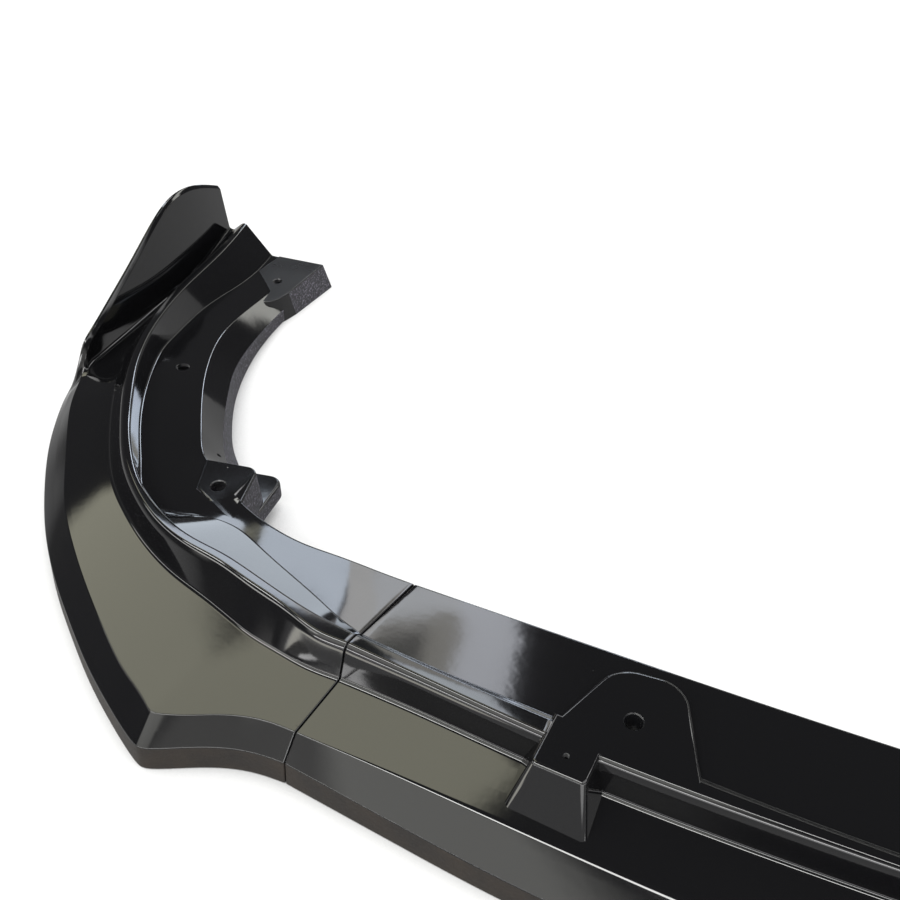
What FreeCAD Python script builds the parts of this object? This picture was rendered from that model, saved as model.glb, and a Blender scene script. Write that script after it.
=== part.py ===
"""Front splitter lip of a car bumper: a bowed centre section and two swept corner pieces with fins.

Millimetres. X runs across the car, -Y is the front, +Z is up. The origin is the middle of the
footprint, on the ground plane of the lip's lower rim. The y of a guide or place is measured from a
cross line a little ahead of that middle, and the finished pieces are set back from it.
"""

import FreeCAD, Part
import math
import os

Vector = FreeCAD.Vector

doc = FreeCAD.newDocument("splitter_lip")

# Driving dimensions
SIZES = {
    # mouldings
    "wall": 3.0,
    "centre_half": 488.0,
    "lip_height": 20.0,
    "lip_draft": 2.0,
    "ground_trim": 2.0,
    "face_height": 38.0,
    "wall_foot_height": 46.0,
    "ridge_height": 72.0,
    "flange_step": 4.5,
    "flange_fall": 1.5,
    "rim_width": 4.0,
    "rim_rise": 5.0,
    "fin_blend": 18.0,
    "fin_inner_edge": 1.0,
    "set_back": 3.9,
    # joint between the mouldings
    "seam_gap": 0.4,
    "end_plate": 3.0,
    "end_plate_foot": 12.0,
    "end_plate_rear_depth": 26.0,
    "bolt_radius": 2.5,
    "bolt_clearance": 0.2,
    "head_height": 3.5,
    "hex_radius": 4.6,
    "nut_height": 4.0,
    "washer_radius": 5.0,
    "washer_height": 1.0,
    "thread_stub": 3.6,
    # fixing holes
    "pad_hole_radius": 5.5,
    "tab_hole_radius": 4.0,
    "pilot_radius": 1.75,
    "collar_wall": 2.5,
    "collar_depth": 20.0,
    # raised places
    "pad_drop": 0.2,
    "pad_round": 14.0,
    "ledge_height": 27.0,
    "ledge_foot": 14.0,
    "ledge_round": 12.0,
    "bracket_height": 57.0,
    "bracket_round": 8.0,
    "tab_height": 25.0,
}

sheet = doc.addObject("Spreadsheet::Sheet", "sizes")
for row, (alias, value) in enumerate(SIZES.items(), start=1):
    sheet.set(f"A{row}", alias)
    sheet.set(f"B{row}", str(value))
    sheet.setAlias(f"B{row}", alias)
doc.recompute()


def size(alias):
    return float(getattr(sheet, alias))


wall = size("wall")
centre_half = size("centre_half")
flange = size("ridge_height") - size("flange_step")
rear_edge = flange - size("flange_fall")
below = -size("ground_trim")
set_back = FreeCAD.Placement(Vector(0, size("set_back"), 0), FreeCAD.Rotation())

# Guide curves of the outer skin, on the -X half. Centre points give the share of the way from the
# middle of the car to the seam, and y. Corner points give the distance outboard of the seam, and y.
# A third number lifts a point above the height of its curve, or drops it below. The rims run a
# little below the ground plane, and are then trimmed level with it.
GUIDES = {
    "lip": (
        size("lip_height"),
        [(0.0, -286), (0.37, -282), (0.70, -271), (0.94, -254)],
        [(17, -247), (37, -247), (59, -251), (76, -257), (99, -266.8), (105, -268.7), (109, -269),
         (113, -267.8), (119, -264.8), (145, -249), (177, -227), (212, -199), (241, -174),
         (264, -152), (286, -127), (306, -101), (329, -68), (350, -30), (367, 10), (376, 50),
         (380, 100), (380, 180), (377, 292)],
    ),
    "face_edge": (
        size("face_height"),
        [(0.0, -262), (0.37, -258), (0.70, -248), (0.94, -238)],
        [(12, -235), (32, -234), (55, -237), (79, -246), (99, -252.6), (104.5, -253.4), (107, -252.9),
         (109.5, -251.3), (116, -247), (142, -231), (175, -206), (213, -174), (239, -150),
         (270, -117), (294, -84), (319, -47), (337, -18), (347, 4), (354, 22, 1), (355, 30, 8),
         (353, 37, 19), (354, 60, 28), (355, 85, 37), (357, 142, 59), (359, 184, 74), (360, 215, 75.5),
         (359, 244, 68.5), (358.5, 263, 60.5), (358, 284, 48)],
    ),
    "fin_foot": (
        size("face_height"),
        [(0.0, -258), (0.94, -234)],
        [(12, -231), (55, -233), (104, -249), (113, -243), (210, -170), (291, -81), (333, -14),
         (345, 10, 1), (354, 30, 2), (353, 47, 3), (349, 91, 4), (345, 153, 5), (346, 211, 6),
         (355, 284, 10)],
    ),
    "wall_foot": (
        size("wall_foot_height"),
        [(0.0, -221), (0.33, -219.5), (0.65, -213), (0.88, -201)],
        [(0, -195), (24, -194), (47, -190), (73, -184), (102, -173), (126, -164), (150, -155),
         (174, -143), (205, -123), (230, -103), (251, -82), (273, -52), (297, -14), (314, 19),
         (327, 54), (336, 95), (341, 150), (343, 210), (350.5, 284)],
    ),
    "ridge_front": (
        size("ridge_height"),
        [(0.0, -218), (0.33, -216.5), (0.65, -209), (0.88, -196)],
        [(0, -187), (24, -184.5), (53, -173), (89, -161), (114, -153), (142, -147), (163, -140),
         (193, -122), (220, -99), (239, -77), (258, -50, -2), (278, -18, -3), (301, 26, -5),
         (320, 84, -7), (330, 157, -10), (332, 212, -12), (338.5, 284, -16.5)],
    ),
    "ridge_back": (
        size("ridge_height"),
        [(0.0, -212), (0.33, -209), (0.60, -200), (0.88, -185)],
        [(0, -177), (24, -173), (57, -164), (90, -153), (114, -146), (142, -140), (160, -133.5),
         (189, -116), (215, -94), (233, -73), (252, -47, -2), (271, -15, -3), (294, 28, -5),
         (313, 86, -7), (323, 158, -10), (325, 212, -12), (335, 284, -17)],
    ),
    "crease": (
        flange,
        [(0.0, -208), (0.33, -205), (0.60, -196), (0.88, -181)],
        [(0, -172.5), (36, -155, -2.5), (71, -137, -5.5), (100, -122, -7.5), (128, -109.5, -9.5),
         (150, -108, -10), (178, -108, -11), (198, -106.5, -11.5), (208, -101, -12), (217, -90, -12),
         (227, -76, -12.5), (249, -44, -14.5), (271, -8, -16.5), (283, 16, -18.5), (294, 42, -20.5),
         (304, 72, -23.5), (308, 105, -26.5), (311, 143, -30.5), (309, 180, -34.5), (306, 228, -41),
         (309, 284, -44)],
    ),
    "flange_edge": (
        rear_edge,
        [(0.0, -139), (0.47, -134), (0.91, -122)],
        [(6, -118.5), (40, -115), (71, -111, -2), (105, -101, -4), (137, -84, -8), (167, -62, -12),
         (188, -47, -15), (203, -28, -16), (221, 1, -18), (243, 40, -21), (261, 80, -25),
         (270, 107, -28), (277, 148, -33), (277, 189, -38), (276, 240, -43), (272, 292, -44)],
    ),
    "arch_edge": (
        rear_edge,
        [(0.0, -138.5, -4), (0.47, -133.5, -4), (0.91, -121.5, -4)],
        [(6, -118, -4), (40, -114.5, -5), (71, -110, -8), (105, -98, -13), (137, -76, -24),
         (167, -43, -33), (188, -22, -37), (199, -7, -38), (219, 29, -39), (232, 57, -41),
         (245, 88, -44), (254, 123, -48), (259, 165, -52), (260, 209, -55), (255, 250, -56),
         (248, 294, -57)],
    ),
    "arch_foot": (
        0.0,
        [(0.0, -138, rear_edge - 8), (0.47, -133, rear_edge - 8), (0.91, -121, rear_edge - 8)],
        [(6, -117.5, rear_edge - 8), (40, -113.5, rear_edge - 9), (71, -108, rear_edge - 12),
         (105, -95, rear_edge - 20), (137, -68, rear_edge - 40), (167, -32, rear_edge - 61),
         (190, -2, below), (205, 14, below), (220, 36, below), (236, 67, below), (249, 104, below),
         (257, 142, below), (260, 188, below), (257, 227, below), (251, 261, below),
         (246, 296, below)],
    ),
}

# Corners of the skin's outside, from the front rim to the rear rim
PROFILE = ["foot", "lip", "crest", "face_edge", "fin_foot", "wall_foot", "ridge_front", "ridge_back",
           "crease", "flange_edge", "arch_edge", "arch_foot"]
REAR_PROFILE = PROFILE[PROFILE.index("ridge_front"):]

# Corners that an end wall joins, and the one that sets the pace of the rails
END_WALL_CORNERS = ["lip", "face_edge", "wall_foot", "ridge_front", "ridge_back", "crease", "flange_edge"]
RIDGE = PROFILE.index("ridge_front")

# Section planes, each through a point on the front side and a point on the rear or arch side.
# Centre planes give the share of the way to the seam, corner planes the distance outboard of it.
CENTRE_PLANES = [0.0, 0.25, 0.5, 0.75, 0.9]
SEAM_PLANE = ((19, -248), (-16, -122))
CORNER_PLANES = [
    ((42, -249), (7, -119)), ((67, -254), (30, -117)), ((90, -264), (49, -114)),
    ((100, -268), (59, -112)), ((106, -269), (63.6, -110.6)), ((109, -269), (66, -110)),
    ((112, -268.6), (68.9, -109.3)), ((118, -266), (75, -108)),
    ((145, -249), (97, -103)), ((177, -228), (117, -93)), ((212, -200), (137, -78)),
    ((247, -171), (157, -52)), ((282, -132), (175, -27)), ((312, -94), (192, -6)),
    ((337, -55), (209, 18)), ((357, -17), (225, 45)), ((367, 8), (234, 62)),
    ((371, 20), (238, 71)), ((373, 28), (240, 77)), ((375, 36), (242, 83)),
    ((377, 52), (246, 94)), ((379, 80), (252, 110)), ((380, 115), (257, 138)),
    ((380, 155), (259, 170)), ((379, 200), (260, 208)), ((378, 243), (257, 249)),
    ((377, 277), (247, 280)),
]


def outboard(distance):
    """X of a place this far outboard of the seam, on the -X side."""
    return -(centre_half + distance)


def guide_curve(name):
    """A smooth curve through the points of a guide, mirrored so that it crosses X = 0 level."""
    height, centre, corner = GUIDES[name]
    points = []
    for share, y, *lift in centre:
        points.append(Vector(-share * centre_half, y, height + sum(lift)))
    for distance, y, *lift in corner:
        points.append(Vector(outboard(distance), y, height + sum(lift)))
    mirrored = [Vector(-point.x, point.y, point.z) for point in reversed(points[1:])]
    curve = Part.BSplineCurve()
    curve.interpolate(mirrored + points)
    return curve


CURVES = {name: guide_curve(name) for name in GUIDES}


# How finely a crossing is looked for along half a curve, and how often its bracket is then halved
SEARCH_STEPS = 400
SEARCH_HALVINGS = 40


class Station:
    """A vertical section plane, with a way to measure along it from front to rear."""

    def __init__(self, front, rear):
        self.front = Vector(front[0], front[1], 0)
        self.along = (Vector(rear[0], rear[1], 0) - self.front).normalize()
        self.normal = Vector(self.along.y, -self.along.x, 0)

    def moved(self, distance):
        """The same plane, this far along its normal, which points inboard and rearward."""
        start = self.front + self.normal * distance
        end = start + self.along
        return Station((start.x, start.y), (end.x, end.y))

    def crossing(self, name):
        """Distance along the plane and height at which a guide curve passes through it."""
        curve = CURVES[name]
        middle = (curve.FirstParameter + curve.LastParameter) / 2
        stride = (curve.LastParameter - middle) / SEARCH_STEPS
        below = middle - stride
        side = (curve.value(below) - self.front).dot(self.normal)
        above = middle
        while side * (curve.value(above) - self.front).dot(self.normal) > 0:
            below = above
            above += stride
        for halving in range(SEARCH_HALVINGS):
            centre = (below + above) / 2
            value = (curve.value(centre) - self.front).dot(self.normal)
            if side * value <= 0:
                above = centre
            else:
                below, side = centre, value
        point = curve.value((below + above) / 2)
        return ((point - self.front).dot(self.along), point.z)

    def place(self, pair):
        """A point of the plane, from its distance along it and its height."""
        return self.front + self.along * pair[0] + Vector(0, 0, pair[1])


def mix(first, second, share):
    return tuple(a + (b - a) * share for a, b in zip(first, second))


def towards(start, end, distance):
    """The point this far from start on the way to end."""
    length = math.dist(start, end)
    return mix(start, end, distance / length)


# Lines of a section that turn by less than this, in radians, count as parallel
PARALLEL = 0.001


def meeting(first_start, first_end, second_start, second_end):
    """Where two lines of the section plane cross."""
    dx1, dz1 = first_end[0] - first_start[0], first_end[1] - first_start[1]
    dx2, dz2 = second_end[0] - second_start[0], second_end[1] - second_start[1]
    cross = dx1 * dz2 - dz1 * dx2
    if abs(cross) < PARALLEL * math.dist(first_start, first_end) * math.dist(second_start, second_end):
        return second_start
    share = ((second_start[0] - first_start[0]) * dz2 - (second_start[1] - first_start[1]) * dx2) / cross
    return (first_start[0] + dx1 * share, first_start[1] + dz1 * share)


def shifted(start, end, distance):
    """A line of the section moved to the inner side of the skin."""
    length = math.dist(start, end)
    aside = ((end[1] - start[1]) / length * distance, -(end[0] - start[0]) / length * distance)
    return (start[0] + aside[0], start[1] + aside[1]), (end[0] + aside[0], end[1] + aside[1])


def outer_profile(station):
    """The skin's outside from the front rim, over the lip, the ridge and the flange, to the rear rim."""
    lip = station.crossing("lip")
    edge = station.crossing("face_edge")
    wall_foot = station.crossing("wall_foot")
    foot = (lip[0] - size("lip_draft"), below)
    fin_share = min(max((edge[1] - size("face_height")) / size("fin_blend"), 0.0), 1.0)
    fin_crest = (edge[0] - size("rim_width"), edge[1] + size("rim_rise"))
    crest = mix(mix(lip, edge, 1 / 2), fin_crest, fin_share)
    low_edge = (edge[0], min(edge[1], size("face_height")))
    rim_end = towards(low_edge, wall_foot, size("rim_width"))
    fin_foot = mix(rim_end, station.crossing("fin_foot"), fin_share)
    rest = [station.crossing(name) for name in REAR_PROFILE]
    return [foot, lip, crest, edge, fin_foot, wall_foot] + rest


def inner_profile(outer, thickness):
    """The skin's inside, an even wall from its outside. Inside the fin it closes to a blunt edge."""
    lines = [shifted(outer[k], outer[k + 1], thickness) for k in range(len(outer) - 1)]
    apex = meeting(*lines[1], *lines[3])
    inner = [(outer[0][0] + thickness, outer[0][1])]
    inner.append(meeting(*lines[0], *lines[1]))
    inner.append(towards(apex, meeting(*lines[0], *lines[1]), size("fin_inner_edge")))
    inner.append(towards(apex, meeting(*lines[3], *lines[4]), size("fin_inner_edge")))
    for k in range(4, len(outer) - 1):
        inner.append(meeting(*lines[k - 1], *lines[k]))
    inner.append((outer[-1][0] - thickness, outer[-1][1]))
    return inner


def section_ring(station):
    """The corners of the skin's cut section, once round."""
    outer = outer_profile(station)
    inner = inner_profile(outer, wall)
    return [station.place(pair) for pair in outer + inner[::-1]]


def centre_station(share):
    x = -share * centre_half
    return Station((x, -300), (x, -100))


def corner_station(planes):
    (front, front_y), (rear, rear_y) = planes
    return Station((outboard(front), front_y), (outboard(rear), rear_y))


seam = corner_station(SEAM_PLANE)
half_gap = size("seam_gap") / 2


def mirrored(shape):
    """The same thing on the +X side of the car."""
    return shape.mirror(Vector(0, 0, 0), Vector(1, 0, 0))


def ruled_strip(rail, after):
    """The face of straight lines between two rails that keep the same pace."""
    surface = Part.BSplineSurface()
    surface.buildFromPolesMultsKnots(
        [rail.getPoles(), after.getPoles()],
        [2, 2], rail.getMultiplicities(),
        [0.0, 1.0], rail.getKnots(),
        False, False, 1, rail.Degree,
    )
    return surface.toShape()


def skin(rings):
    """A moulding's skin: smooth rails through the section corners, with a ruled strip between rails."""
    pace = [0.0]
    for near, far in zip(rings, rings[1:]):
        pace.append(pace[-1] + near[RIDGE].distanceToPoint(far[RIDGE]))
    rails = []
    for corners in zip(*rings):
        curve = Part.BSplineCurve()
        curve.interpolate(Points=list(corners), Parameters=pace)
        rails.append(curve)
    faces = [ruled_strip(rail, after) for rail, after in zip(rails, rails[1:] + rails[:1])]
    for ring in (rings[0], rings[-1]):
        faces.append(Part.Face(Part.makePolygon(ring + ring[:1])))
    shell = Part.Shell(faces)
    shell.sewShape()
    solid = Part.Solid(shell)
    if solid.Volume < 0:
        solid.reverse()
    return solid


def outline_wire(outline, height):
    """A closed outline of (distance outboard, y) corners at one height."""
    corners = [Vector(outboard(distance), y, height) for distance, y in outline]
    return Part.makePolygon(corners + corners[:1])


def upright_block(wire, high):
    """The block from a level wire up to a height."""
    return Part.Face(wire).extrude(Vector(0, 0, high - wire.BoundBox.ZMin))


# An edge of a block is the one at a place if it stands this near to it
NEAR = 1.0


def rounded(block, radius, places):
    """The block with its upright edges at these (distance outboard, y) places rounded."""
    edges = []
    for edge in block.Edges:
        middle = edge.CenterOfMass
        upright = edge.BoundBox.ZLength > NEAR
        near = [math.dist((middle.x, middle.y), (outboard(distance), y)) < NEAR for distance, y in places]
        if upright and any(near):
            edges.append(edge)
    return block.makeFillet(radius, edges)


def tray(outline, low, high, radius, places):
    """A block with rounded corners, and the core that leaves it an even wall and an open underside."""
    block = rounded(upright_block(outline_wire(outline, low), high), radius, places)
    base = min(block.Faces, key=lambda face: face.CenterOfMass.z)
    core_wire = base.OuterWire.makeOffset2D(-wall)
    core_wire.translate(Vector(0, 0, -wall))
    return block, upright_block(core_wire, high - wall)


def tapered_tray(base, top, low, high):
    """A block from a base outline to a top outline, and the core that leaves it a wall and no floor."""
    block = Part.makeLoft([outline_wire(base, low), outline_wire(top, high)], True, True)
    core_base = outline_wire(base, low - wall).makeOffset2D(-wall)
    core_top = outline_wire(top, high - wall).makeOffset2D(-wall)
    return block, Part.makeLoft([core_base, core_top], True, True)


def drill(place, radius, low):
    """An upright drill at a (distance outboard, y) place, from a height to just above the ridge."""
    high = size("ridge_height") + wall
    return Part.makeCylinder(radius, high - low, Vector(outboard(place[0]), place[1], low))


def collar(place, radius, top):
    """The collar under a hole: a short tube from the surface down."""
    depth = size("collar_depth")
    base = Vector(outboard(place[0]), place[1], top - depth)
    return Part.makeCylinder(radius + size("collar_wall"), depth - wall / 2, base)


def below_ground():
    """A slab that trims everything below the ground plane."""
    reach = max(outline.BoundBox.DiagonalLength for outline in (CURVES[name].toShape() for name in GUIDES))
    return Part.makeBox(2 * reach, 2 * reach, size("ground_trim") + wall,
                        Vector(-reach, -reach, -size("ground_trim") - wall))


def end_plate(side):
    """The end wall of a moulding on one side of the seam plane: +1 inboard, -1 outboard."""
    station = seam.moved(side * half_gap)
    outer = outer_profile(station)
    inner = inner_profile(outer, wall)
    places = [PROFILE.index(name) for name in END_WALL_CORNERS]
    edge = [mix(outer[k], inner[k], 1 / 2) for k in places]
    front_foot = (edge[0][0], size("end_plate_foot"))
    rear_foot = (edge[-1][0], edge[-1][1] - size("end_plate_rear_depth"))
    corners = [station.place(pair) for pair in [front_foot] + edge + [rear_foot]]
    face = Part.Face(Part.makePolygon(corners + corners[:1]))
    return face.extrude(station.normal * side * size("end_plate"))


def bolt_drills():
    """Drills for the joint bolts, straight through both end walls of the seam."""
    radius = size("bolt_radius") + size("bolt_clearance")
    reach = half_gap + size("end_plate") + wall
    drills = []
    for place in BOLT_PLACES:
        start = seam.place(place) - seam.normal * reach
        drills.append(Part.makeCylinder(radius, 2 * reach, start, seam.normal))
    return drills


# Joint bolts of a seam: distance along the seam plane from its front point, and height
BOLT_PLACES = [(35.0, 28.5), (66.0, 46.0), (102.0, 49.0)]

# Centre pad behind the wall, a level tray that stands above the flange
PAD = [(-133, -196), (-158, -143), (-200, -142), (-222, -207)]
PAD_HOLE = (-177, -178)

# Lug in front of the wall, wider at its base, with a pilot hole in its top
LUG_TOP = [(-129, -198), (-129, -224), (-162, -227), (-166, -202)]
LUG_BASE = [(-117, -198), (-117, -239), (-170, -245), (-174, -202)]
LUG_HOLE = (-147, -214)

# Corner bracket: a ledge above the rim, and a level pad that stands on it
LEDGE = [(135.5, -88), (135, -22), (176, -27), (192, -32), (160, -60)]
BRACKET = [(182, -53), (140, -48), (131, -103), (138, -101), (173, -83)]
BRACKET_HOLE = (159, -76)

# Rear tab, a level block along the wheel arch that widens to its foot, and the holes beside it
TAB = [(300, 278.7), (251, 279.8), (259, 220), (263, 207), (271, 198), (318, 190)]
TAB_FOOT = [(300, 278.7), (243, 279.9), (254, 222), (259, 206), (268, 195), (318, 187)]
TAB_HOLE = (279, 235)
ARCH_HOLE = (273, 56)
SLOPE_HOLE = (191, -26)


def both_sides(shapes):
    """Shapes of the -X side, and the same on the +X side."""
    return shapes + [mirrored(shape) for shape in shapes]


def centre_section():
    """Bowed centre moulding with two pads, two lugs and an end wall at each seam."""
    rings = [section_ring(centre_station(share)) for share in CENTRE_PLANES]
    rings.append(section_ring(seam.moved(half_gap)))
    other_rings = [[Vector(-v.x, v.y, v.z) for v in ring] for ring in reversed(rings[1:])]
    top = size("ridge_height") - size("pad_drop")
    pad_floor = flange - wall
    face_floor = size("face_height") - wall
    pad, pad_core = tray(PAD, pad_floor, top, size("pad_round"), PAD[1:3])
    lug, lug_core = tapered_tray(LUG_BASE, LUG_TOP, face_floor, top)
    collars = [collar(PAD_HOLE, size("pad_hole_radius"), top)]
    drills = [drill(PAD_HOLE, size("pad_hole_radius"), face_floor)]
    drills.append(drill(LUG_HOLE, size("pilot_radius"), face_floor))
    body = skin(other_rings + rings)
    body = body.fuse(both_sides([pad, lug, end_plate(1)])).cut(both_sides([pad_core, lug_core]))
    body = body.fuse(both_sides(collars)).cut(both_sides(drills + bolt_drills()))
    return body.cut(below_ground())


def corner():
    """Corner moulding on the -X side: fin, ridge, cove, arch flange, bracket, tab and end wall."""
    rings = [section_ring(seam.moved(-half_gap))]
    rings += [section_ring(corner_station(planes)) for planes in CORNER_PLANES]
    ledge, ledge_core = tray(
        LEDGE, size("ledge_foot"), size("ledge_height"), size("ledge_round"), LEDGE[1:2]
    )
    bracket, bracket_core = tray(
        BRACKET, size("ledge_height") - wall, size("bracket_height"), size("bracket_round"), BRACKET[1:2]
    )
    recess = outline_wire(BRACKET, size("bracket_height"))
    recess = upright_block(recess, size("ridge_height"))
    tab, tab_core = tapered_tray(TAB_FOOT, TAB, 0, size("tab_height"))
    body = skin(rings).cut(recess).fuse([ledge, bracket, tab, end_plate(-1)])
    cuts = [ledge_core, bracket_core, tab_core] + bolt_drills()
    above_ledge = size("ledge_height") + wall
    cuts.append(drill(BRACKET_HOLE, size("pad_hole_radius"), above_ledge))
    cuts.append(drill(ARCH_HOLE, size("pad_hole_radius"), above_ledge))
    cuts.append(drill(SLOPE_HOLE, size("pilot_radius"), above_ledge))
    cuts.append(drill(TAB_HOLE, size("tab_hole_radius"), size("tab_height") - 2 * wall))
    return body.cut(cuts + [below_ground()])


def moulding(label, shape):
    """A moulding as an object of the document."""
    feature = doc.addObject("Part::Feature", label)
    feature.Label = label
    feature.Shape = shape
    feature.Placement = set_back
    return feature


def bolt_placement(side, place, distance):
    """Where a joint bolt's axis stands this far past the seat of its head. Side is 1 for -X, -1 for +X."""
    seat = half_gap + size("end_plate") + size("washer_height")
    point = seam.place(place) + seam.normal * (distance - seat)
    axis = seam.normal
    point = Vector(point.x * side, point.y, point.z)
    axis = Vector(axis.x * side, axis.y, axis.z)
    return set_back.multiply(FreeCAD.Placement(point, FreeCAD.Rotation(Vector(0, 0, 1), axis)))


def cylinder(radius, height):
    solid = doc.addObject("Part::Cylinder", "cylinder")
    solid.setExpression("Radius", radius)
    solid.setExpression("Height", height)
    return solid


def hexagon(height):
    solid = doc.addObject("Part::Prism", "hexagon")
    solid.Polygon = 6
    solid.setExpression("Circumradius", "sizes.hex_radius")
    solid.setExpression("Height", height)
    return solid


def bolt(placement):
    """A hexagon bolt: the head below its seat, and a plain shank through the joint."""
    head = hexagon("sizes.head_height")
    head.setExpression("Placement.Base.z", "-sizes.head_height")
    shank = cylinder("sizes.bolt_radius", BOLT_LENGTH)
    whole = doc.addObject("Part::Fuse", "bolt")
    whole.Base = head
    whole.Tool = shank
    whole.Placement = placement
    return whole


def washer(placement):
    whole = doc.addObject("Part::Cut", "washer")
    whole.Base = cylinder("sizes.washer_radius", "sizes.washer_height")
    whole.Tool = cylinder("sizes.bolt_radius + sizes.bolt_clearance", "sizes.washer_height")
    whole.Placement = placement
    return whole


def nut(placement):
    whole = doc.addObject("Part::Cut", "nut")
    whole.Base = hexagon("sizes.nut_height")
    whole.Tool = cylinder("sizes.bolt_radius", "sizes.nut_height")
    whole.Placement = placement
    return whole


def group(label, pieces):
    """Like fasteners of one seam, as separate solids in one sub-part."""
    whole = doc.addObject("Part::Compound", label)
    whole.Label = label
    whole.Links = pieces
    return whole


# A bolt passes both end walls, two washers and the nut, and ends a little beyond it
GRIP = "2 * sizes.end_plate + sizes.seam_gap + 2 * sizes.washer_height"
BOLT_LENGTH = GRIP + " + sizes.nut_height + sizes.thread_stub"
plates = 2 * size("end_plate") + size("seam_gap")
inner_washer = size("washer_height") + plates
nut_seat = inner_washer + size("washer_height")

right = corner()
sub_parts = [
    moulding("centre_section", centre_section()),
    moulding("right_corner", right),
    moulding("left_corner", mirrored(right)),
]
for name, side in (("right", 1), ("left", -1)):
    bolts = [bolt(bolt_placement(side, place, 0)) for place in BOLT_PLACES]
    washers = [washer(bolt_placement(side, place, 0)) for place in BOLT_PLACES]
    washers += [washer(bolt_placement(side, place, inner_washer)) for place in BOLT_PLACES]
    nuts = [nut(bolt_placement(side, place, nut_seat)) for place in BOLT_PLACES]
    sub_parts.append(group(name + "_joint_bolts", bolts))
    sub_parts.append(group(name + "_joint_washers", washers))
    sub_parts.append(group(name + "_joint_nuts", nuts))
doc.recompute()

for item in doc.Objects:
    if "Invalid" in item.State or "Error" in item.State:
        raise RuntimeError(item.Label + " did not build")
for part in sub_parts:
    if part.Shape.isNull() or not part.Shape.isValid():
        raise RuntimeError(part.Label + " has no sound shape")

os.makedirs("parts", exist_ok=True)
for part in sub_parts:
    part.Shape.exportStep(os.path.join("parts", part.Label + ".step"))
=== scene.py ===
import math

import bmesh
import bpy
import numpy as np
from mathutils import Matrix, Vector


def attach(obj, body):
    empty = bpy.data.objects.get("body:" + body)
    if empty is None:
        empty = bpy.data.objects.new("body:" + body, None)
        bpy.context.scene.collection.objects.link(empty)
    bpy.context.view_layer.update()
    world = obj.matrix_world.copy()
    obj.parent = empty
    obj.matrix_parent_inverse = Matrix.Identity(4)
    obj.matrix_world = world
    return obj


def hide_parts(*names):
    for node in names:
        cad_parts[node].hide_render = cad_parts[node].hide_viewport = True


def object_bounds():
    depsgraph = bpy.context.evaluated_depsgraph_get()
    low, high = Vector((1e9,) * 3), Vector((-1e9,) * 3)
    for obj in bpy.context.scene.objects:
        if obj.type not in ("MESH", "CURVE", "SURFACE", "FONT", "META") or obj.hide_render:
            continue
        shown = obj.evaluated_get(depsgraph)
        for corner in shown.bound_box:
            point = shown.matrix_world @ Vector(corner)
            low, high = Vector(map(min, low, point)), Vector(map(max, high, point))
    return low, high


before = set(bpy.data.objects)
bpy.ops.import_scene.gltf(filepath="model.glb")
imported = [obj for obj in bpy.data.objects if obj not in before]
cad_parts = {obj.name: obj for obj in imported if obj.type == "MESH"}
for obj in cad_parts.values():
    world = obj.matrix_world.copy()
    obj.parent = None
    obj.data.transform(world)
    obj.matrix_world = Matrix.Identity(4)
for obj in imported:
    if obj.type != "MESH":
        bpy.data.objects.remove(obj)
cad_low, cad_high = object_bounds()
bpy.context.scene.view_settings.view_transform = "Standard"


# Centre section: one thin-walled moulding across the middle of the bumper. Its skin runs from the front
# rim over the lip and the face, up the wall, over the ridge and down to the flange behind. It is formed
# from one plastic sheet, trimmed along its rims and painted gloss black.

MM = 0.001
WALL = 3.0
CENTRE_HALF = 488.0
LIP_HEIGHT = 20.0
LIP_DRAFT = 2.0
FACE_HEIGHT = 38.0
WALL_FOOT_HEIGHT = 46.0
RIDGE_HEIGHT = 72.0
FLANGE_HEIGHT = 67.5
REAR_EDGE_HEIGHT = 66.0
FIN_BLEND = 18.0
RIM_RISE = 5.0
CORNER_RIM_WIDTH = 4.0
CENTRE_RIM_WIDTH = 16.0
INNER_FIN_EDGE = 1.0
HALF_GAP = 0.2
SET_BACK = 3.9

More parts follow.
